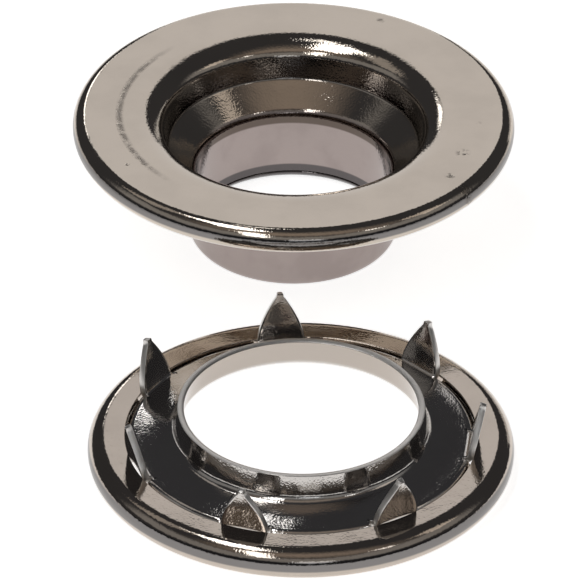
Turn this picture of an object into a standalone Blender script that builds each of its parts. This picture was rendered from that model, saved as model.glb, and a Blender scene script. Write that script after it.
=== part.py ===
"""Rolled-rim spur grommet: a drawn sheet-metal eyelet and its toothed two-piece washer.

Metres, +Z up, both pieces standing on z = 0. Sections are drawn as (radius, height) pairs and spun
round each piece's own axis. The eyelet stands behind the washer, which lies with its teeth up.
"""
import math

import bmesh
import bpy
from mathutils import Matrix

MM = 0.001

# How the two halves stand: the axes' distance along Y and the washer's small step to +X
AXIS_SPACING = 24.49 * MM
WASHER_SHIFT_X = 0.53 * MM

# Eyelet
EYELET_RADIUS = 13.0 * MM
EYELET_HEIGHT = 8.05 * MM
EYELET_SHEET = 0.42 * MM
EYELET_ROLL_RADIUS = 0.78 * MM
THROAT_RADIUS = 7.55 * MM
THROAT_SOFT_RADIUS = 2.6 * MM
THROAT_SOFT_TURN = 35.0
THROAT_TIGHT_RADIUS = 0.8 * MM
THROAT_WALL_END = 2.15 * MM
BARREL_RADIUS = 6.17 * MM
SHOULDER_SLOPE = 40.0
SHOULDER_BEND = 0.5 * MM
BARREL_END_RADIUS = 0.61 * MM
BARREL_END_TURN = 55.0

# Washer, outer piece: flat flange with a rolled outer rim, whose end comes up under the crown's skirt
WASHER_RADIUS = 12.2 * MM
WASHER_SHEET = 0.40 * MM
WASHER_ROLL_RADIUS = 0.98 * MM
WASHER_HOLE_RADIUS = 10.06 * MM

# Washer, inner piece: neck, dish and brim flush with the flange, stepped down into a skirt that the flange holds
SPUR_SHEET = 0.38 * MM
SPUR_TOP = 3.82 * MM
NECK_RADIUS = 6.68 * MM
NECK_FLARE = 8.0
BRIM_SLOPE = 6.0
BRIM_FLAT = 0.3 * MM
DISH_SLOPE = 13.0
NECK_FOOT_RADIUS = 0.5 * MM
STEP_INSET = 0.51 * MM
STEP_BEND_RADIUS = 0.24 * MM
STEP_SLOPE = 67.0
SKIRT_REACH = 0.6 * MM
SEAT_GAP = 0.04 * MM

# Teeth, bent up out of notches in the brim's edge
TOOTH_COUNT = 7
FIRST_TOOTH_ANGLE = 97.0
TOOTH_WIDTH = 2.7 * MM
TOOTH_TOP = 4.85 * MM
TOOTH_LEAN = 12.0
TOOTH_BEND_INSET = 0.1 * MM
TOOTH_BEND_RADIUS = 0.35 * MM
TOOTH_TIP_RADIUS = 0.2 * MM
TOOTH_BULGE = 1.6
TOOTH_EDGE_BREAK = 0.05 * MM
TOOTH_ROOT = 0.5 * MM
TOOTH_ROOT_SHEET = 0.32 * MM
NOTCH_GAP = 0.11 * MM
NOTCH_SETBACK = 0.05 * MM
NOTCH_OVERRUN = 1.0 * MM

# A rolled edge turns this far round, which tucks its end under the flange
ROLL_TURN = 270.0

# Facets: round the axis, and degrees of turn for each one along a bend
SPIN_STEPS = 56
ARC_STEP = 22.5
THROAT_STEP = 17.5
SHOULDER_STEP = 27.5
BARREL_END_STEP = 18.5
FOOT_STEP = 18.0
DISH_STEP = 4.0

EYELET_Y = (AXIS_SPACING + WASHER_RADIUS - EYELET_RADIUS) / 2
WASHER_Y = EYELET_Y - AXIS_SPACING
FLANGE_TOP = 2 * WASHER_ROLL_RADIUS
BRIM_RADIUS = WASHER_HOLE_RADIUS - STEP_INSET
SKIRT_RADIUS = WASHER_HOLE_RADIUS + SKIRT_REACH
SKIRT_MID = FLANGE_TOP - WASHER_SHEET - SEAT_GAP - SPUR_SHEET / 2
TOOTH_BEND_START = BRIM_RADIUS - TOOTH_BEND_INSET


class Track:
    """The middle line of a bent sheet: points with headings, drawn in (radius, height)."""

    def __init__(self, radius, height, heading):
        self.heading = heading
        self.stations = [(radius, height, heading)]

    def line(self, length):
        radius, height, _ = self.stations[-1]
        turn = math.radians(self.heading)
        self.stations.append((radius + length * math.cos(turn), height + length * math.sin(turn), self.heading))

    def arc(self, bend, turn, step=ARC_STEP):
        """Follow an arc of radius bend through turn degrees, positive to the left."""
        radius, height, _ = self.stations[-1]
        side = math.copysign(1.0, turn)
        start = math.radians(self.heading)
        centre_r = radius - side * bend * math.sin(start)
        centre_z = height + side * bend * math.cos(start)
        count = max(2, math.ceil(abs(turn) / step))
        for index in range(1, count + 1):
            heading = self.heading + turn * index / count
            now = math.radians(heading)
            self.stations.append(
                (centre_r + side * bend * math.sin(now), centre_z - side * bend * math.cos(now), heading)
            )
        self.heading += turn

    def end(self):
        return self.stations[-1][:2]


def sheet_section(stations, sheet):
    """Closed outline of a sheet that follows the stations at even thickness."""
    left, right = [], []
    for radius, height, heading in stations:
        turn = math.radians(heading)
        offset_r = -math.sin(turn) * sheet / 2
        offset_z = math.cos(turn) * sheet / 2
        left.append((radius + offset_r, height + offset_z))
        right.append((radius - offset_r, height - offset_z))
    return left + right[::-1]


def spin_section(section, steps=SPIN_STEPS):
    """Solid of revolution round Z from a closed outline."""
    mesh = bmesh.new()
    corners = [mesh.verts.new((radius, 0.0, height)) for radius, height in section]
    edges = [mesh.edges.new((corner, corners[index - 1])) for index, corner in enumerate(corners)]
    bmesh.ops.spin(
        mesh, geom=corners + edges, cent=(0, 0, 0), axis=(0, 0, 1), angle=math.tau, steps=steps, use_merge=True
    )
    bmesh.ops.remove_doubles(mesh, verts=mesh.verts, dist=1e-7)
    bmesh.ops.recalc_face_normals(mesh, faces=mesh.faces)
    return mesh


def eyelet_section():
    """Flange from the rolled rim inwards, soft mouth, throat wall, shoulder, barrel and turned-in end."""
    half = EYELET_SHEET / 2
    roll = EYELET_ROLL_RADIUS - half
    flange_mid = EYELET_HEIGHT - half
    rim = Track(EYELET_RADIUS - EYELET_ROLL_RADIUS, flange_mid, 0.0)
    rim.arc(roll, -ROLL_TURN)

    soft, tight = THROAT_SOFT_RADIUS - half, THROAT_TIGHT_RADIUS - half
    turned = math.radians(THROAT_SOFT_TURN)
    throat_mid = THROAT_RADIUS + half
    start = throat_mid + soft * math.sin(turned) + tight * (1 - math.sin(turned))
    inward = Track(start, flange_mid, 180.0)
    inward.arc(soft, THROAT_SOFT_TURN, THROAT_STEP)
    inward.arc(tight, 90.0 - THROAT_SOFT_TURN, SHOULDER_STEP)
    inward.line(inward.end()[1] - (EYELET_HEIGHT - THROAT_WALL_END))

    # The shoulder's length follows from the radii it joins and the two bends at its ends
    slope = math.radians(SHOULDER_SLOPE)
    across = throat_mid - (BARREL_RADIUS - half) - 2 * SHOULDER_BEND * (1 - math.sin(slope))
    inward.arc(SHOULDER_BEND, -(90.0 - SHOULDER_SLOPE), SHOULDER_STEP)
    inward.line(across / math.cos(slope))
    inward.arc(SHOULDER_BEND, 90.0 - SHOULDER_SLOPE, SHOULDER_STEP)

    end_bend = BARREL_END_RADIUS - half
    inward.line(inward.end()[1] - BARREL_END_RADIUS * math.sin(math.radians(BARREL_END_TURN)))
    inward.arc(end_bend, -BARREL_END_TURN, BARREL_END_STEP)

    # One track from the tucked-in end of the roll to the end of the barrel
    rolled = [(radius, height, heading + 180.0) for radius, height, heading in reversed(rim.stations)]
    return sheet_section(rolled + inward.stations, EYELET_SHEET)


def rim_ring_section():
    """Flat flange from its hole outwards, then the rolled rim, whose end stops just under the skirt."""
    half = WASHER_SHEET / 2
    track = Track(WASHER_HOLE_RADIUS, FLANGE_TOP - half, 0.0)
    track.line(WASHER_RADIUS - WASHER_ROLL_RADIUS - WASHER_HOLE_RADIUS)
    track.arc(WASHER_ROLL_RADIUS - half, -ROLL_TURN)
    track.line(SKIRT_MID - SPUR_SHEET / 2 - SEAT_GAP - track.end()[1])
    return sheet_section(track.stations, WASHER_SHEET)


def brim_height(radius):
    """Height of the brim's middle line at a radius on its straight outer part."""
    return FLANGE_TOP - SPUR_SHEET / 2 + (BRIM_RADIUS - radius) * math.tan(math.radians(BRIM_SLOPE))


def spur_ring_section():
    """Neck from its lip down, tight foot, shallow dish, brim, and the step down into the skirt."""
    half = SPUR_SHEET / 2
    brim, dish, flare = math.radians(BRIM_SLOPE), math.radians(DISH_SLOPE), math.radians(NECK_FLARE)
    foot = NECK_FOOT_RADIUS + half
    lip = NECK_RADIUS + half

    # The neck's length and the dish's radius are what takes the track from the lip to the brim
    across = BRIM_RADIUS - BRIM_FLAT - lip - foot * (math.cos(flare) - math.sin(dish))
    down = SPUR_TOP - brim_height(BRIM_RADIUS - BRIM_FLAT) - foot * (math.cos(dish) - math.sin(flare))
    mean_slope = math.tan((brim + dish) / 2)
    neck = (down - across * mean_slope) / (math.cos(flare) - mean_slope * math.sin(flare))
    dish_radius = (across - neck * math.sin(flare)) / (math.sin(dish) - math.sin(brim))

    track = Track(lip, SPUR_TOP, NECK_FLARE - 90.0)
    track.line(neck)
    track.arc(foot, 90.0 - NECK_FLARE - DISH_SLOPE, FOOT_STEP)
    track.arc(dish_radius, DISH_SLOPE - BRIM_SLOPE, DISH_STEP)
    track.line(BRIM_FLAT / math.cos(brim))

    # The step's straight length is what its bends leave of the way down to the skirt
    step = math.radians(STEP_SLOPE)
    track.arc(STEP_BEND_RADIUS, BRIM_SLOPE - STEP_SLOPE)
    track.line((track.end()[1] - SKIRT_MID - STEP_BEND_RADIUS * (1 - math.cos(step))) / math.sin(step))
    track.arc(STEP_BEND_RADIUS, STEP_SLOPE)
    track.line(SKIRT_RADIUS - track.end()[0])
    return sheet_section(track.stations, SPUR_SHEET)


def tooth_half_width(from_tip, length):
    """Half the tooth's width at a distance from its tip: round tip, then sides that bulge to the foot."""
    sides = TOOTH_WIDTH / 2 * (1 - (1 - min(1.0, from_tip / length)) ** TOOTH_BULGE)
    below = min(from_tip, TOOTH_TIP_RADIUS)
    tip = math.sqrt(TOOTH_TIP_RADIUS**2 - (TOOTH_TIP_RADIUS - below) ** 2)
    return max(sides, tip)


def tooth_stations():
    """Stations (radius, height, heading, thickness, half width) from the root in the brim to the tip."""
    root = TOOTH_BEND_START - TOOTH_ROOT
    track = Track(root, brim_height(root), -BRIM_SLOPE)
    track.line(TOOTH_ROOT / math.cos(math.radians(BRIM_SLOPE)))
    track.arc(TOOTH_BEND_RADIUS, 90.0 - TOOTH_LEAN + BRIM_SLOPE)
    foot = len(track.stations) - 1
    length = (TOOTH_TOP - track.end()[1]) / math.cos(math.radians(TOOTH_LEAN))
    marks = (0.12, 0.25, 0.4, 0.55, 0.7, 0.82)
    ends = [length * mark for mark in marks]
    ends += [length - TOOTH_TIP_RADIUS * share for share in (1.2, 0.6, 0.15)]
    done = 0.0
    for end in ends:
        track.line(end - done)
        done = end

    out = []
    for index, (radius, height, heading) in enumerate(track.stations):
        sheet = TOOTH_ROOT_SHEET if index < 2 else SPUR_SHEET
        above = ends[index - foot - 1] if index > foot else 0.0
        out.append((radius, height, heading, sheet, tooth_half_width(length - above, length)))
    return out


def tooth_solid():
    """One tooth along +X: a bent plate with its long edges broken."""
    mesh = bmesh.new()
    rings = []
    for radius, height, heading, sheet, half_width in tooth_stations():
        turn = math.radians(heading)
        offset_r, offset_z = -math.sin(turn) * sheet / 2, math.cos(turn) * sheet / 2
        inner = (radius + offset_r, height + offset_z)
        outer = (radius - offset_r, height - offset_z)
        rings.append(
            [
                mesh.verts.new((face_r, side * half_width, face_z))
                for (face_r, face_z), side in ((inner, -1), (inner, 1), (outer, 1), (outer, -1))
            ]
        )
    spans = list(zip(rings, rings[1:]))
    for lower, upper in spans:
        for index in range(4):
            follow = (index + 1) % 4
            mesh.faces.new((lower[index], lower[follow], upper[follow], upper[index]))
    mesh.faces.new(rings[0][::-1])
    mesh.faces.new(rings[-1])
    bmesh.ops.recalc_face_normals(mesh, faces=mesh.faces)
    edges = [edge_of(*pair) for lower, upper in spans for pair in zip(lower, upper)]
    edges += [edge_of(rings[-1][index], rings[-1][(index + 1) % 4]) for index in (0, 2)]
    bmesh.ops.bevel(mesh, geom=edges, offset=TOOTH_EDGE_BREAK, segments=1, affect="EDGES")
    return mesh


def edge_of(first, second):
    """The edge between two vertices."""
    return next(edge for edge in first.link_edges if edge.other_vert(first) is second)


def tooth_angles():
    return [math.radians(FIRST_TOOTH_ANGLE - 360.0 * index / TOOTH_COUNT) for index in range(TOOTH_COUNT)]


def round_the_ring(make_one):
    """Copies of one solid at every tooth's angle, in one mesh."""
    one = make_one()
    template = bpy.data.meshes.new("tooth_template")
    one.to_mesh(template)
    one.free()
    mesh = bmesh.new()
    for angle in tooth_angles():
        first = len(mesh.verts)
        mesh.from_mesh(template)
        mesh.verts.ensure_lookup_table()
        bmesh.ops.rotate(mesh, verts=mesh.verts[first:], cent=(0, 0, 0), matrix=Matrix.Rotation(angle, 3, "Z"))
    bpy.data.meshes.remove(template)
    return mesh


def notch_block():
    """The block that cuts one tooth's notch out of the brim."""
    start = TOOTH_BEND_START - NOTCH_SETBACK
    depth = SKIRT_RADIUS + NOTCH_OVERRUN - start
    mesh = bmesh.new()
    bmesh.ops.create_cube(mesh, size=1.0)
    bmesh.ops.scale(mesh, vec=(depth, TOOTH_WIDTH + 2 * NOTCH_GAP, 2 * NOTCH_OVERRUN), verts=mesh.verts)
    centre = (start + depth / 2, 0.0, brim_height(BRIM_RADIUS))
    bmesh.ops.translate(mesh, vec=centre, verts=mesh.verts)
    return mesh


def nickel(name, colour, roughness):
    """Bright nickel plate."""
    material = bpy.data.materials.new(name)
    material.use_nodes = True
    surface = material.node_tree.nodes["Principled BSDF"]
    surface.inputs["Base Color"].default_value = (*colour, 1.0)
    surface.inputs["Metallic"].default_value = 1.0
    surface.inputs["Roughness"].default_value = roughness
    material.diffuse_color = (*colour, 1.0)
    return material


def add_object(name, mesh, place, material=None):
    """Turn a bmesh into an object at its place."""
    data = bpy.data.meshes.new(name)
    mesh.to_mesh(data)
    mesh.free()
    if material:
        data.materials.append(material)
    made = bpy.data.objects.new(name, data)
    made.location = place
    bpy.context.collection.objects.link(made)
    return made


def smooth(made, sharp_angle=32.0):
    """Shade the round faces smooth and keep the sheet's edges sharp."""
    made.data.shade_smooth()
    made.data.set_sharp_from_angle(angle=math.radians(sharp_angle))


def boolean(made, other, operation):
    """Join or cut with another closed mesh, which stays hidden."""
    other.hide_render = True
    other.display_type = "WIRE"
    step = made.modifiers.new(operation.lower(), "BOOLEAN")
    step.object = other
    step.operation = operation
    step.solver = "EXACT"


def apply_modifiers(made, tools):
    """Bake the modifiers into the mesh and drop the tools they used."""
    view = bpy.context.evaluated_depsgraph_get()
    baked = bpy.data.meshes.new_from_object(made.evaluated_get(view))
    old = made.data
    made.modifiers.clear()
    made.data = baked
    name = old.name
    bpy.data.meshes.remove(old)
    baked.name = name
    for tool in tools:
        bpy.data.objects.remove(tool, do_unlink=True)


for old_object in list(bpy.data.objects):
    bpy.data.objects.remove(old_object, do_unlink=True)

eyelet_place = (0.0, EYELET_Y, 0.0)
washer_place = (WASHER_SHIFT_X, WASHER_Y, 0.0)

eyelet = add_object(
    "eyelet", spin_section(eyelet_section()), eyelet_place, nickel("eyelet_nickel", (0.60, 0.57, 0.54), 0.14)
)
smooth(eyelet)

rim_ring = add_object(
    "rim_ring", spin_section(rim_ring_section()), washer_place, nickel("rim_nickel", (0.58, 0.55, 0.51), 0.14)
)
smooth(rim_ring)

spur_ring = add_object(
    "spur_ring", spin_section(spur_ring_section()), washer_place, nickel("spur_nickel", (0.55, 0.53, 0.50), 0.12)
)
notches = add_object("notch_cutter", round_the_ring(notch_block), washer_place)
teeth = add_object("tooth_plates", round_the_ring(tooth_solid), washer_place)
boolean(spur_ring, notches, "DIFFERENCE")
boolean(spur_ring, teeth, "UNION")
apply_modifiers(spur_ring, (notches, teeth))
smooth(spur_ring)
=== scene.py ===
"""The looks of the rolled-rim grommet: bright nickel over thin pressed sheet, on a pale studio floor.

Each pressing is drawn as the middle line of its sheet, turned round its axis and given the sheet's thickness.
Lengths are in metres, and patterns work in millimetres round each pressing's own axis.
"""
import math

import bmesh
import bpy
from mathutils import Matrix, Quaternion, Vector


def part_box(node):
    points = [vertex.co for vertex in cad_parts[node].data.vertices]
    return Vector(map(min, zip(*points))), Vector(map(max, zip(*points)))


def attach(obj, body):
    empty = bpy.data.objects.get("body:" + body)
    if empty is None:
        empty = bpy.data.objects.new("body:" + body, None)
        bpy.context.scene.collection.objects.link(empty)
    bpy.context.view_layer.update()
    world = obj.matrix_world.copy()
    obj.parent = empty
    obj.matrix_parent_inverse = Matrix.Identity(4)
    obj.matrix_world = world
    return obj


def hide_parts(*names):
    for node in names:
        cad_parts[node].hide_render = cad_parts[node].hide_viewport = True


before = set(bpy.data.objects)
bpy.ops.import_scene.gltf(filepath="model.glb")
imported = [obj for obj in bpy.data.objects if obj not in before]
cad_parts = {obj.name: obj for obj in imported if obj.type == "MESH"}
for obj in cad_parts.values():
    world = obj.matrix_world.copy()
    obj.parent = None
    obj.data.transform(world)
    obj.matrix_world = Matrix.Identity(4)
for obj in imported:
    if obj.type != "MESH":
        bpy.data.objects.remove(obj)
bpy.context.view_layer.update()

# Eyelet: one drawn pressing of thin plated sheet. Its rim is rolled under, and its throat is drawn down with
# a soft mouth and a short wall. A shoulder leads in to the barrel, whose end is turned in. It stands on that.
MM = 0.001
SPIN_STEPS = 210
BEND_STEP = 5.0
HOLD = 0.04 * MM
EDGE_BREAK = 0.03 * MM
SHARP_EDGE = math.radians(50.0)
WELD = 1e-8

EYELET_SHEET = 0.42 * MM
EYELET_ROLL_RADIUS = 0.78 * MM
THROAT_RADIUS = 7.55 * MM
THROAT_SOFT_RADIUS = 2.6 * MM
THROAT_SOFT_TURN = 35.0
THROAT_TIGHT_RADIUS = 0.8 * MM
THROAT_WALL_END = 2.15 * MM
THROAT_LEAN = 14.0
THROAT_LEAN_SHIFT = 0.14 * MM
SHOULDER_SLOPE = 40.0
SHOULDER_BEND = 0.5 * MM
BARREL_RADIUS = 6.17 * MM
BARREL_END_RADIUS = 0.61 * MM
BARREL_END_TURN = 55.0
ROLL_TURN = 270.0

EYELET_NICKEL = (0.545, 0.485, 0.42)
# Painted shade: the barrel darker and mauve, with random darker patches
BARREL_PAINTED_SHADE = (0.33, 0.28, 0.265)
BARREL_SHADE_CLOUD = (0.30, 0.253, 0.24)
# Painted shade: a dark ring at the top of the barrel
BARREL_TOP_PAINTED_SHADE = (0.125, 0.10, 0.086)
# Painted shade: the barrel's turned-in end
BARREL_END_PAINTED_SHADE = (0.11, 0.10, 0.10)
# Painted shade: the throat's short wall
THROAT_WALL_PAINTED_SHADE = (0.20, 0.19, 0.185)
# Painted shade: a darker band round each rolled rim
RIM_PAINTED_SHADE = (0.20, 0.19, 0.185)
DRAWN_RADIUS = 8.9


class SheetLine:
    """The middle line of a pressed sheet, grown from one vertex by straight runs and spun bends.

    Headings and turns are in degrees, with 0 outward and 90 up.
    """

    def __init__(self, radius, height, heading):
        self.mesh = bmesh.new()
        self.tip = self.mesh.verts.new((radius, 0.0, height))
        self.heading = heading

    def run(self, length):
        """A straight run, with a short piece at each end that keeps the bends' shading off it."""
        turn = math.radians(self.heading)
        hold = min(HOLD, length / 4)
        for part in (hold, length - 2 * hold, hold):
            self.tip = bmesh.ops.extrude_vert_indiv(self.mesh, verts=[self.tip])["verts"][0]
            step = (part * math.cos(turn), 0.0, part * math.sin(turn))
            bmesh.ops.translate(self.mesh, verts=[self.tip], vec=step)

    def bend(self, radius, turn, step=BEND_STEP):
        """Bend round a centre at the line's left for a positive turn, or at its right."""
        side = math.copysign(radius, turn)
        heading = math.radians(self.heading)
        centre = self.tip.co + Vector((-side * math.sin(heading), 0.0, side * math.cos(heading)))
        grown = bmesh.ops.spin(
            self.mesh,
            geom=[self.tip],
            cent=centre,
            axis=(0.0, -1.0, 0.0),
            angle=math.radians(turn),
            steps=max(2, math.ceil(abs(turn) / step)),
        )
        self.tip = next(vertex for vertex in grown["geom_last"] if isinstance(vertex, bmesh.types.BMVert))
        self.heading += turn

    def turned(self):
        """The line turned once round Z, as an open surface with its faces one way round."""
        bmesh.ops.remove_doubles(self.mesh, verts=self.mesh.verts, dist=WELD)
        bmesh.ops.spin(
            self.mesh,
            geom=self.mesh.verts[:] + self.mesh.edges[:],
            cent=(0.0, 0.0, 0.0),
            axis=(0.0, 0.0, 1.0),
            angle=math.tau,
            steps=SPIN_STEPS,
            use_merge=True,
        )
        bmesh.ops.recalc_face_normals(self.mesh, faces=self.mesh.faces)
        return self.mesh


def pressing(name, mesh, centre, sheet):
    """A pressed piece: the sheet's middle surface put in its place, with its thickness and broken edges."""
    bmesh.ops.translate(mesh, verts=mesh.verts, vec=centre)
    data = bpy.data.meshes.new(name)
    mesh.to_mesh(data)
    mesh.free()
    data.shade_smooth()
    made = bpy.data.objects.new(name, data)
    bpy.context.scene.collection.objects.link(made)
    wall = made.modifiers.new("sheet", "SOLIDIFY")
    wall.thickness = sheet
    wall.offset = 0.0
    wall.use_even_offset = True
    edge = made.modifiers.new("edge_break", "BEVEL")
    edge.width = EDGE_BREAK
    edge.segments = 2
    edge.use_clamp_overlap = False
    edge.limit_method = "ANGLE"
    edge.angle_limit = SHARP_EDGE
    return made


def stands_for(piece, node):
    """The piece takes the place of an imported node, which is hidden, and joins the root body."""
    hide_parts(node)
    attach(piece, "root")


def axis_of(node):
    """Where a round node's axis meets the floor."""
    low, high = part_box(node)
    return Vector(((low.x + high.x) / 2, (low.y + high.y) / 2, 0.0))


class Socket:
    """A shader node's output, or only its tree. Python's arithmetic on an output adds Math nodes."""

    def __init__(self, tree, output=None):
        self.tree = tree
        self.output = output

    def node(self, kind, settings=None, inputs=None, output=0):
        """A new node with its settings, then its sockets, which are given values or other sockets."""
        made = self.tree.nodes.new(kind)
        for name, value in (settings or {}).items():
            setattr(made, name, value)
        for name, value in (inputs or {}).items():
            if isinstance(value, Socket):
                self.tree.links.new(value.output, made.inputs[name])
            else:
                made.inputs[name].default_value = value
        return Socket(self.tree, made.outputs[output]) if made.outputs else None

    def math(self, operation, first, second):
        return self.node("ShaderNodeMath", {"operation": operation}, {0: first, 1: second})

    def __add__(self, other):
        return self.math("ADD", self, other)

    def __radd__(self, other):
        return self.math("ADD", other, self)

    def __mul__(self, other):
        return self.math("MULTIPLY", self, other)

    def __rmul__(self, other):
        return self.math("MULTIPLY", other, self)

    def step(self, low, high):
        """0 below low and 1 above high, with a soft ramp between; low may be the larger."""
        return self.node(
            "ShaderNodeMapRange",
            {"interpolation_type": "SMOOTHSTEP"},
            {"Value": self, "From Min": low, "From Max": high},
        )

    def noise(self, scale, detail):
        """Cloudy noise from 0 to 1 at this place."""
        return self.node("ShaderNodeTexNoise", {}, {"Vector": self, "Scale": scale, "Detail": detail})

    def mapped(self, shift, scale):
        """This place scaled evenly, then shifted."""
        values = {"Vector": self, "Location": shift, "Scale": (scale, scale, scale)}
        return self.node("ShaderNodeMapping", {}, values)

    def part(self, axis):
        """One coordinate of this place."""
        return self.node("ShaderNodeSeparateXYZ", {}, {"Vector": self}, output=axis)

    def distance(self, centre, weight):
        """Distance of this place from a centre, with each axis weighted."""
        away = self.node("ShaderNodeVectorMath", {"operation": "SUBTRACT"}, {0: self, 1: centre})
        away = self.node("ShaderNodeVectorMath", {"operation": "MULTIPLY"}, {0: away, 1: weight})
        return self.node("ShaderNodeVectorMath", {"operation": "LENGTH"}, {0: away}, output="Value")

    def from_axis(self, x=0.0, y=0.0):
        """Level distance of this place from the upright axis through x and y."""
        return self.distance((x, y, 0.0), (1.0, 1.0, 0.0))

    def mix(self, first, second):
        """Two colours mixed by this factor, which shows the second at 1."""
        first, second = (item if isinstance(item, Socket) else (*item, 1.0) for item in (first, second))
        return self.node("ShaderNodeMix", {"data_type": "RGBA"}, {0: self, 6: first, 7: second}, output=2)


PATINA = 0.93
POLISH = 0.03
POLISH_SPREAD = 0.07
GRAIN_SCALE = 8.0
GRAIN_DEPTH = 0.006 * MM
DRAWN_GRAIN = 0.3
DRAWN_BLEND = 0.8
WAVE_SCALE = 0.7
WAVE_HEIGHT = 3.0
# Scuffs and the painted dent reflection: their colour, how much it shows, their roughness and bump
SCUFF_AND_REFLECTION_COLOUR = (0.15, 0.13, 0.115)
MARK_SHOWN = 0.55
MARK_ROUGHNESS = 0.3
MARK_HEIGHT = 3.0


def nickel(name, centre, colour, tones_and_shades, scuffs_and_reflections=(), drawn_radius=0.0):
    """Bright nickel plate. Tones and shades are (mask, colour) pairs, some of them painted shade; scuffs and
    painted reflections are masks, and all work by place.

    The plate has a fine grain and a slow wave, which break up its mirror. The grain is a little deeper inside
    the radius where the sheet was drawn.
    """
    material = bpy.data.materials.new(name)
    material.use_nodes = True
    shader = Socket(material.node_tree)
    surface = material.node_tree.nodes["Principled BSDF"]
    place = shader.node("ShaderNodeTexCoord", output="Object").mapped(-centre / MM, 1 / MM)
    cloud = place.noise(scale=0.35, detail=3.0).step(low=0.35, high=0.75)
    base = cloud.mix(colour, [share * PATINA for share in colour])
    for mask, tone in tones_and_shades:
        base = mask(place).mix(base, tone)
    drawn = place.from_axis().step(low=drawn_radius, high=drawn_radius - DRAWN_BLEND)
    grain = (1.0 + DRAWN_GRAIN * drawn) * place.noise(GRAIN_SCALE, detail=1.5)
    height = grain + WAVE_HEIGHT * place.noise(WAVE_SCALE, detail=1.0)
    polish = POLISH + POLISH_SPREAD * place.noise(scale=1.3, detail=3.0)
    # Scuffs, and the painted dent reflection, darken, roughen and bump the plate
    for mark_mask in scuffs_and_reflections:
        marked = mark_mask(place)
        base = (MARK_SHOWN * marked).mix(base, SCUFF_AND_REFLECTION_COLOUR)
        polish = polish + MARK_ROUGHNESS * marked
        height = height + MARK_HEIGHT * marked * place.noise(scale=4.0, detail=3.0)
    bump = shader.node("ShaderNodeBump", {}, {"Height": height, "Distance": GRAIN_DEPTH, "Strength": 1.0})
    surface.inputs["Metallic"].default_value = 1.0
    for socket, value in {"Base Color": base, "Roughness": polish, "Normal": bump}.items():
        material.node_tree.links.new(value.output, surface.inputs[socket])
    return material


def zone(radius_ramps, height_ramps):
    """A mask that is the product of ramps. Each ramp is where it is 0 and where it is 1, in millimetres."""

    def mask(place):
        radius, height = place.from_axis(), place.part("Z")
        across = [radius.step(*ramp) for ramp in radius_ramps]
        return math.prod(across + [height.step(*ramp) for ramp in height_ramps])

    return mask


# Painted shade: these masks lay darker colours on the barrel, its top ring, its turned-in end, the throat
# wall and the rim
barrel_zone = zone([(6.9, 6.5)], [(4.75, 4.45)])
barrel_top_zone = zone([(6.05, 5.95)], [(3.72, 3.85), (4.52, 4.4)])
barrel_end_zone = zone([(6.0, 5.9)], [(0.98, 0.86)])
throat_wall_zone = zone([(7.9, 7.75)], [(5.75, 5.95), (7.4, 7.0)])
eyelet_rim_zone = zone([(12.4, 12.5)], [(7.04, 7.20), (7.70, 7.54)])
crescent_zone = zone([(9.95, 10.2), (10.55, 10.25)], [])
CRESCENT_SIDE = (-6.8, -9.0)

# Each smudge: its centre's x and y from the eyelet's axis and its reach, in millimetres
SMUDGES = (
    (9.9, -4.1, 0.55),
    (9.1, -6.6, 0.4),
    (5.15, 10.5, 0.35),
    (10.86, -0.85, 0.2),
    (-9.67, -5.56, 0.2),
    (10.1, -7.9, 0.6),
)
SMUDGE_CORE = 0.3


def barrel_cloud(place):
    """Cloudy patches of the barrel's painted shade, a little darker than the rest of it."""
    return barrel_zone(place) * place.noise(scale=0.45, detail=3.0).step(low=0.42, high=0.66)


def crescent_dent_reflection(place):
    """A broken dark crescent on the flange on the left: a painted reflection of a shallow dent there."""
    left = place.part("X").step(*CRESCENT_SIDE)
    return crescent_zone(place) * left * place.noise(scale=2.2, detail=4.0).step(low=0.25, high=0.55)


def smudges(place):
    """Small rubbed marks on the flange."""
    marks = sum(place.from_axis(x, y).step(reach, SMUDGE_CORE * reach) for x, y, reach in SMUDGES)
    return marks * place.noise(scale=3.0, detail=3.0).step(low=0.4, high=0.6)


# Painted shade: darker colours laid on the plate where it shows dark reflections, each laid over those before
# it
EYELET_PAINTED_SHADES = (
    (barrel_zone, BARREL_PAINTED_SHADE),
    (barrel_cloud, BARREL_SHADE_CLOUD),
    (barrel_top_zone, BARREL_TOP_PAINTED_SHADE),
    (barrel_end_zone, BARREL_END_PAINTED_SHADE),
    (throat_wall_zone, THROAT_WALL_PAINTED_SHADE),
    (eyelet_rim_zone, RIM_PAINTED_SHADE),
)
# The smudges are scuffs; the crescent is a painted reflection of a shallow dent
EYELET_SCUFFS_AND_REFLECTIONS = (crescent_dent_reflection, smudges)

half = EYELET_SHEET / 2
eyelet_centre = axis_of("eyelet")
eyelet_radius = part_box("eyelet")[1].x - eyelet_centre.x
eyelet_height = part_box("eyelet")[1].z
roll = EYELET_ROLL_RADIUS - half
soft, tight = THROAT_SOFT_RADIUS - half, THROAT_TIGHT_RADIUS - half
throat_mid = THROAT_RADIUS + half + THROAT_LEAN_SHIFT
soft_share = math.sin(math.radians(THROAT_SOFT_TURN))
lean = math.radians(THROAT_LEAN)
flange_inner = throat_mid + soft * soft_share + tight * (math.cos(lean) - soft_share)
slope = math.radians(SHOULDER_SLOPE)

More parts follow.
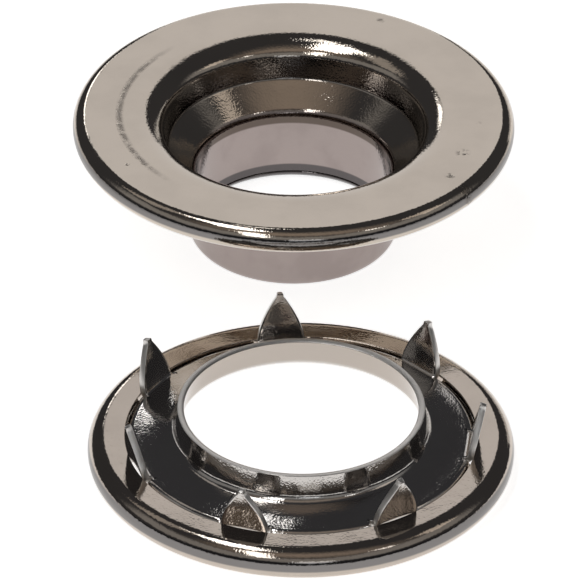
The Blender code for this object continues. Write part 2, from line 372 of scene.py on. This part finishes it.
line = SheetLine(eyelet_radius - EYELET_ROLL_RADIUS - roll, eyelet_height - EYELET_ROLL_RADIUS, -90.0)
line.bend(roll, ROLL_TURN)
line.run(eyelet_radius - EYELET_ROLL_RADIUS - flange_inner)
line.bend(soft, THROAT_SOFT_TURN, step=2.5)
line.bend(tight, 90.0 - THROAT_LEAN - THROAT_SOFT_TURN)
line.run((line.tip.co.z - (eyelet_height - THROAT_WALL_END)) / math.cos(lean))
line.bend(SHOULDER_BEND, SHOULDER_SLOPE + THROAT_LEAN - 90.0)
across = line.tip.co.x - (BARREL_RADIUS - half) - SHOULDER_BEND * (1 - math.sin(slope))
line.run(across / math.cos(slope))
line.bend(SHOULDER_BEND, 90.0 - SHOULDER_SLOPE)
line.run(line.tip.co.z - BARREL_END_RADIUS * math.sin(math.radians(BARREL_END_TURN)))
line.bend(BARREL_END_RADIUS - half, -BARREL_END_TURN)

eyelet = pressing("eyelet_shell", line.turned(), eyelet_centre, EYELET_SHEET)
eyelet_plate = nickel(
    "eyelet_nickel", eyelet_centre, EYELET_NICKEL, EYELET_PAINTED_SHADES, EYELET_SCUFFS_AND_REFLECTIONS, DRAWN_RADIUS
)
eyelet.data.materials.append(eyelet_plate)
stands_for(eyelet, "eyelet")

# Washer flange: the washer's outer pressing, a flat ring of the same plated sheet with its rim rolled under.
# It lies on the rolled rim, whose end comes up inside and clamps the crown's skirt against the flange.
FLANGE_SHEET = 0.40 * MM
FLANGE_ROLL_RADIUS = 0.98 * MM
FLANGE_HOLE_RADIUS = 10.06 * MM
ROLL_TAIL = 0.12 * MM
WASHER_NICKEL = (0.50, 0.44, 0.385)
# Painted shade: a darker band round the rolled rim
flange_rim_zone = zone([(11.5, 11.6)], [(0.72, 0.88), (1.50, 1.34)])

half = FLANGE_SHEET / 2
washer_centre = axis_of("rim_ring")
washer_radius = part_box("rim_ring")[1].x - washer_centre.x
flange_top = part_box("rim_ring")[1].z

line = SheetLine(FLANGE_HOLE_RADIUS, flange_top - half, 0.0)
line.run(washer_radius - FLANGE_ROLL_RADIUS - FLANGE_HOLE_RADIUS)
line.bend(FLANGE_ROLL_RADIUS - half, -ROLL_TURN)
line.run(ROLL_TAIL)

washer = pressing("rolled_flange", line.turned(), washer_centre, FLANGE_SHEET)
flange_plate = nickel("flange_nickel", washer_centre, WASHER_NICKEL, [(flange_rim_zone, RIM_PAINTED_SHADE)])
washer.data.materials.append(flange_plate)
stands_for(washer, "rim_ring")

# Toothed crown: the washer's inner pressing. A short neck runs through a tight foot into a dished brim, which
# is flush with the flange and steps down into a skirt beneath it. Seven tongues are cut free of the skirt and
# bent up into teeth.
CROWN_SHEET = 0.38 * MM
CROWN_TOP = 3.82 * MM
NECK_RADIUS = 6.68 * MM
NECK_FLARE = 8.0
NECK_FOOT_RADIUS = 0.5 * MM
DISH_SLOPE = 13.0
BRIM_RADIUS = FLANGE_HOLE_RADIUS - 0.51 * MM
BRIM_SLOPE = 6.0
BRIM_FLAT = 0.3 * MM
STEP_BEND_RADIUS = 0.24 * MM
STEP_SLOPE = 67.0
SKIRT_RADIUS = FLANGE_HOLE_RADIUS + 0.6 * MM
SEAT_GAP = 0.04 * MM

TOOTH_COUNT = 7
FIRST_TOOTH_ANGLE = 97.0
TOOTH_WIDTH = 2.7 * MM
TOOTH_TOP = 4.85 * MM
TOOTH_LEAN = 12.0
TOOTH_BEND_INSET = 0.1 * MM
TOOTH_BEND_RADIUS = 0.35 * MM
TOOTH_BEND_STEPS = 8
TOOTH_TIP_RADIUS = 0.2 * MM
TOOTH_TIP_BLUNT = 0.3 * TOOTH_TIP_RADIUS
TOOTH_BULGE = 1.6
TOOTH_ROWS = 12
NOTCH_GAP = 0.11 * MM
NOTCH_SETBACK = 0.05 * MM
NOTCH_MARGIN = 0.4 * MM
ON_CUT = 1e-7

CROWN_NICKEL = (0.56, 0.535, 0.51)
NECK_NICKEL = (0.43, 0.385, 0.345)
SHEARED_NICKEL = (0.66, 0.64, 0.615)
SHEARED_ROUGHNESS = 0.24
SHEARED_SPREAD = 0.2
neck_zone = zone([(7.02, 6.92)], [(2.2, 2.5)])


def brim_height(radius):
    """Height of the brim's middle line at a radius on its straight outer part."""
    return flange_top - CROWN_SHEET / 2 + (BRIM_RADIUS - radius) * math.tan(math.radians(BRIM_SLOPE))


def crown_surface():
    """Neck, foot, dish, brim, step and skirt, before any tooth is bent up."""
    half = CROWN_SHEET / 2
    brim, dish, flare = math.radians(BRIM_SLOPE), math.radians(DISH_SLOPE), math.radians(NECK_FLARE)
    foot = NECK_FOOT_RADIUS + half
    lip = NECK_RADIUS + half
    wide = BRIM_RADIUS - BRIM_FLAT - lip - foot * (math.cos(flare) - math.sin(dish))
    down = CROWN_TOP - brim_height(BRIM_RADIUS - BRIM_FLAT) - foot * (math.cos(dish) - math.sin(flare))
    mean_slope = math.tan((brim + dish) / 2)
    neck = (down - wide * mean_slope) / (math.cos(flare) - mean_slope * math.sin(flare))
    dish_radius = (wide - neck * math.sin(flare)) / (math.sin(dish) - math.sin(brim))
    line = SheetLine(lip, CROWN_TOP, NECK_FLARE - 90.0)
    line.run(neck)
    line.bend(foot, 90.0 - NECK_FLARE - DISH_SLOPE)
    line.bend(dish_radius, DISH_SLOPE - BRIM_SLOPE, step=1.0)
    line.run(BRIM_FLAT / math.cos(brim))
    riser = math.radians(STEP_SLOPE)
    skirt = flange_top - FLANGE_SHEET - SEAT_GAP - half
    line.bend(STEP_BEND_RADIUS, BRIM_SLOPE - STEP_SLOPE, step=12.0)
    line.run((line.tip.co.z - skirt - STEP_BEND_RADIUS * (1 - math.cos(riser))) / math.sin(riser))
    line.bend(STEP_BEND_RADIUS, STEP_SLOPE, step=12.0)
    line.run(SKIRT_RADIUS - line.tip.co.x)
    return line.turned()


def tooth_half_width(from_tip, length):
    """Half the tooth's width at a distance from its tip: round tip, then sides that bulge to the foot."""
    sides = TOOTH_WIDTH / 2 * (1 - (1 - min(1.0, from_tip / length)) ** TOOTH_BULGE)
    below = min(from_tip, TOOTH_TIP_RADIUS)
    return max(sides, math.sqrt(TOOTH_TIP_RADIUS**2 - (TOOTH_TIP_RADIUS - below) ** 2))


def grow_row(mesh, row, length, heading):
    """Extrude a row of edges by a length in the XZ plane."""
    grown = bmesh.ops.extrude_edge_only(mesh, edges=row)["geom"]
    ends = [item for item in grown if isinstance(item, bmesh.types.BMVert)]
    bmesh.ops.translate(mesh, verts=ends, vec=(length * math.cos(heading), 0.0, length * math.sin(heading)))
    return [item for item in grown if isinstance(item, bmesh.types.BMEdge)]


def raise_tooth(mesh):
    """Notch the brim at +X and bend the tongue in the notch up into a tooth."""
    start = BRIM_RADIUS - TOOTH_BEND_INSET - NOTCH_SETBACK
    tooth_half = TOOTH_WIDTH / 2
    notch_half = tooth_half + NOTCH_GAP

    def brim_faces():
        middles = [(face, face.calc_center_median()) for face in mesh.faces]
        inner, side = start - NOTCH_MARGIN, notch_half + NOTCH_MARGIN
        return [face for face, middle in middles if middle.x > inner and abs(middle.y) < side]

    sides = (-notch_half, -tooth_half, tooth_half, notch_half)
    cuts = [((0.0, side, 0.0), (0.0, 1.0, 0.0)) for side in sides]
    cuts.append(((start, 0.0, 0.0), (1.0, 0.0, 0.0)))
    for place, normal in cuts:
        faces = brim_faces()
        edges = list(dict.fromkeys(edge for face in faces for edge in face.edges))
        corners = list(dict.fromkeys(corner for face in faces for corner in face.verts))
        cut = corners + edges + faces
        bmesh.ops.bisect_plane(mesh, geom=cut, dist=WELD, plane_co=place, plane_no=normal)

    middles = [(face, face.calc_center_median()) for face in brim_faces()]
    notch = [face for face, middle in middles if middle.x > start and abs(middle.y) < notch_half]
    bmesh.ops.delete(mesh, geom=notch, context="FACES")
    row = [
        edge
        for edge in mesh.edges
        if edge.is_boundary
        and all(abs(end.co.x - start) < ON_CUT and abs(end.co.y) < tooth_half + ON_CUT for end in edge.verts)
    ]

    # From the notch's root: a short run on the brim's slope, the bend, then the plate up to its tip
    heading = math.radians(-BRIM_SLOPE)
    row = grow_row(mesh, row, NOTCH_SETBACK / math.cos(heading), heading)
    ends = {end for edge in row for end in edge.verts}
    centre_x = max(end.co.x for end in ends) - TOOTH_BEND_RADIUS * math.sin(heading)
    centre_z = max(end.co.z for end in ends) + TOOTH_BEND_RADIUS * math.cos(heading)
    bent = bmesh.ops.spin(
        mesh,
        geom=row,
        cent=(centre_x, 0.0, centre_z),
        axis=(0.0, -1.0, 0.0),
        angle=math.radians(90.0 - TOOTH_LEAN + BRIM_SLOPE),
        steps=TOOTH_BEND_STEPS,
    )["geom_last"]
    row = [edge for edge in bent if isinstance(edge, bmesh.types.BMEdge)]
    heading = math.radians(90.0 - TOOTH_LEAN)
    length = (TOOTH_TOP - row[0].verts[0].co.z) / math.sin(heading)
    last = length - TOOTH_TIP_BLUNT
    width = tooth_half
    for index in range(1, TOOTH_ROWS + 1):
        above = last * math.sin(math.pi / 2 * index / TOOTH_ROWS)
        done = last * math.sin(math.pi / 2 * (index - 1) / TOOTH_ROWS)
        row = grow_row(mesh, row, above - done, heading)
        narrower = tooth_half_width(length - above, length)
        ends = list(dict.fromkeys(end for edge in row for end in edge.verts))
        bmesh.ops.scale(mesh, vec=(1.0, narrower / width, 1.0), verts=ends)
        width = narrower


def sheared_edge():
    """The sheet's cut edge, rougher and lighter than the plate."""
    material = bpy.data.materials.new("crown_sheared_edge")
    material.use_nodes = True
    shader = Socket(material.node_tree)
    surface = material.node_tree.nodes["Principled BSDF"]
    place = shader.node("ShaderNodeTexCoord", output="Object").mapped(-washer_centre / MM, 1 / MM)
    roughness = SHEARED_ROUGHNESS + SHEARED_SPREAD * place.noise(scale=6.0, detail=2.0)
    surface.inputs["Metallic"].default_value = 1.0
    surface.inputs["Base Color"].default_value = (*SHEARED_NICKEL, 1.0)
    material.node_tree.links.new(roughness.output, surface.inputs["Roughness"])
    return material


crown_mesh = crown_surface()
pitch = Matrix.Rotation(math.tau / TOOTH_COUNT, 3, "Z")
for _ in range(TOOTH_COUNT):
    raise_tooth(crown_mesh)
    bmesh.ops.rotate(crown_mesh, verts=crown_mesh.verts, cent=(0.0, 0.0, 0.0), matrix=pitch)
first_turn = Matrix.Rotation(math.radians(FIRST_TOOTH_ANGLE), 3, "Z")
bmesh.ops.rotate(crown_mesh, verts=crown_mesh.verts, cent=(0.0, 0.0, 0.0), matrix=first_turn)
bmesh.ops.recalc_face_normals(crown_mesh, faces=crown_mesh.faces)

crown = pressing("toothed_crown", crown_mesh, washer_centre, CROWN_SHEET)
crown_plate = nickel("crown_nickel", washer_centre, CROWN_NICKEL, [(neck_zone, NECK_NICKEL)])
crown.data.materials.append(crown_plate)
crown.data.materials.append(sheared_edge())
crown.modifiers["sheet"].material_offset_rim = 1
stands_for(crown, "spur_ring")

# Studio: a pale floor that keeps the part's shadow, in a dim room with pale walls at the sides and in front,
# and soft boxes that stand where the bright metal mirrors them.
FLOOR_SIZE = 3.0
FLOOR_PAINT = (0.85, 0.85, 0.85, 1.0)
FLOOR_GLOW = (0.42, 0.42, 0.42)
POOL_GLOW = (0.80, 0.80, 0.80)
POOL_CENTRE = (0.0, 6.0)
POOL_REACH = 32.0
POOL_END = 95.0

floor_mesh = bmesh.new()
bmesh.ops.create_grid(floor_mesh, x_segments=1, y_segments=1, size=FLOOR_SIZE / 2)
floor_data = bpy.data.meshes.new("floor")
floor_mesh.to_mesh(floor_data)
floor_mesh.free()
floor = bpy.data.objects.new("floor", floor_data)
bpy.context.scene.collection.objects.link(floor)
floor_material = bpy.data.materials.new("floor_white")
floor_material.use_nodes = True
tree = floor_material.node_tree
tree.nodes.clear()
shader = Socket(tree)
place = shader.node("ShaderNodeTexCoord", output="Object").mapped((0.0, 0.0, 0.0), 1 / MM)
# Painted light: the floor glows brighter in a soft pool round the parts and dimmer further off
pool = place.from_axis(*POOL_CENTRE).step(low=POOL_END, high=POOL_REACH)
paint = shader.node("ShaderNodeBsdfDiffuse", {}, {"Color": FLOOR_PAINT})
glow = shader.node("ShaderNodeEmission", {}, {"Color": pool.mix(FLOOR_GLOW, POOL_GLOW)})
glowing = shader.node("ShaderNodeAddShader", {}, {0: paint, 1: glow})
kinds = ("Is Camera Ray", "Is Glossy Ray", "Is Transmission Ray")
seen = sum(shader.node("ShaderNodeLightPath", output=kind) for kind in kinds)
shown = shader.node("ShaderNodeMixShader", {}, {0: seen, 1: paint, 2: glowing})
shader.node("ShaderNodeOutputMaterial", {}, {"Surface": shown})
floor_data.materials.append(floor_material)

# The room, by direction. Each pair of the walls is where a ramp is 0 and where it is 1, up Z or along Y
ROOM_LIGHT = (0.045, 0.045, 0.048)
CEILING_LIGHT = (0.32, 0.27, 0.23)
CEILING_WAY = (0.03, -0.40, 0.91)
CEILING_WEIGHT = (0.42, 1.0, 1.0)
CEILING_REACH = 0.48
WALL_LIGHT = (0.28, 0.275, 0.27)
WALL_BOTTOM = (0.26, 0.36)
WALL_TOP = (0.74, 0.62)
WALL_BACK = (0.35, 0.05)

world = bpy.data.worlds.new("studio")
bpy.context.scene.world = world
world.use_nodes = True
tree = world.node_tree
tree.nodes.clear()
shader = Socket(tree)
way = shader.node("ShaderNodeTexCoord", output="Generated")
ceiling = way.distance(CEILING_WAY, CEILING_WEIGHT).step(low=CEILING_REACH, high=0.0)
height = way.part("Z")
walls = height.step(*WALL_BOTTOM) * height.step(*WALL_TOP) * way.part("Y").step(*WALL_BACK)
room = walls.mix(ceiling.mix(ROOM_LIGHT, CEILING_LIGHT), WALL_LIGHT)
sky = shader.node("ShaderNodeBackground", {}, {"Color": room})
shader.node("ShaderNodeOutputWorld", {}, {"Surface": sky})

# Each box: name, place of its centre, width and height in millimetres, brightness, colour
SOFT_BOXES = (
    ("window", (-84.0, 25.0, 330.0), (76.0, 150.0), 4.6, (1.0, 1.0, 1.0)),
    ("low_window", (-44.0, -100.0, 120.0), (28.0, 84.0), 3.0, (1.0, 1.0, 1.0)),
    ("back_card", (1.5, 100.0, 42.0), (41.0, 86.0), 0.80, (1.0, 0.985, 0.98)),
    ("back_slot", (-25.0, 96.0, 53.0), (8.0, 20.0), 3.0, (1.0, 1.0, 1.0)),
    ("side_card", (54.0, 98.0, 12.0), (62.0, 24.0), 0.6, (1.0, 0.97, 0.93)),
    ("right_card", (210.0, -12.0, 222.0), (80.0, 80.0), 0.6, (1.0, 0.90, 0.80)),
    ("left_card", (-150.0, 85.0, 255.0), (100.0, 90.0), 0.35, (1.0, 0.92, 0.84)),
    ("right_lamp", (156.0, -137.0, 209.0), (30.0, 30.0), 2.4, (1.0, 1.0, 1.0)),
    ("front_card", (30.0, -250.0, 80.0), (75.0, 60.0), 0.85, (0.90, 0.95, 1.0)),
    ("spark", (-6.0, 38.0, 70.0), (7.0, 6.0), 2.5, (1.0, 1.0, 1.0)),
)
AIM = Vector((0.0, 5.0, 3.0)) * MM

for name, centre, size, brightness, colour in SOFT_BOXES:
    box_data = bpy.data.lights.new(name, "AREA")
    box_data.shape = "RECTANGLE"
    box_data.size, box_data.size_y = (side * MM for side in size)
    box_data.energy = brightness * math.pi * box_data.size * box_data.size_y
    box_data.color = colour
    box = bpy.data.objects.new(name, box_data)
    bpy.context.scene.collection.objects.link(box)
    box.location = Vector(centre) * MM
    box.rotation_mode = "QUATERNION"
    facing = (box.location - AIM).normalized()
    right = (Vector((1.0, 0.0, 0.0)) - facing * facing.x).normalized()
    box.rotation_quaternion = Matrix((right, facing.cross(right), facing)).transposed().to_quaternion()
    box.visible_camera = False

# Camera: far off with a long lens, in front of the washer and above it, rolled a little as the photo is.
CAMERA_TARGET = Vector((-0.15, 5.275, 0.0)) * MM
CAMERA_DISTANCE = 0.6
CAMERA_ELEVATION = math.radians(33.34)
CAMERA_ROLL = math.radians(0.37)
CAMERA_LENS = 635.0
CAMERA_SENSOR = 36.0
CAMERA_NEAR = 0.01

camera_data = bpy.data.cameras.new("camera")
camera_data.lens = CAMERA_LENS
camera_data.sensor_width = CAMERA_SENSOR
camera_data.clip_start = CAMERA_NEAR
camera = bpy.data.objects.new("camera", camera_data)
bpy.context.scene.collection.objects.link(camera)
back = Vector((0.0, -math.cos(CAMERA_ELEVATION), math.sin(CAMERA_ELEVATION)))
camera.location = CAMERA_TARGET + back * CAMERA_DISTANCE
camera.rotation_mode = "QUATERNION"
camera.rotation_quaternion = (-back).to_track_quat("-Z", "Y") @ Quaternion((0.0, 0.0, 1.0), CAMERA_ROLL)
bpy.context.scene.camera = camera

bpy.context.scene.view_settings.view_transform = "Standard"
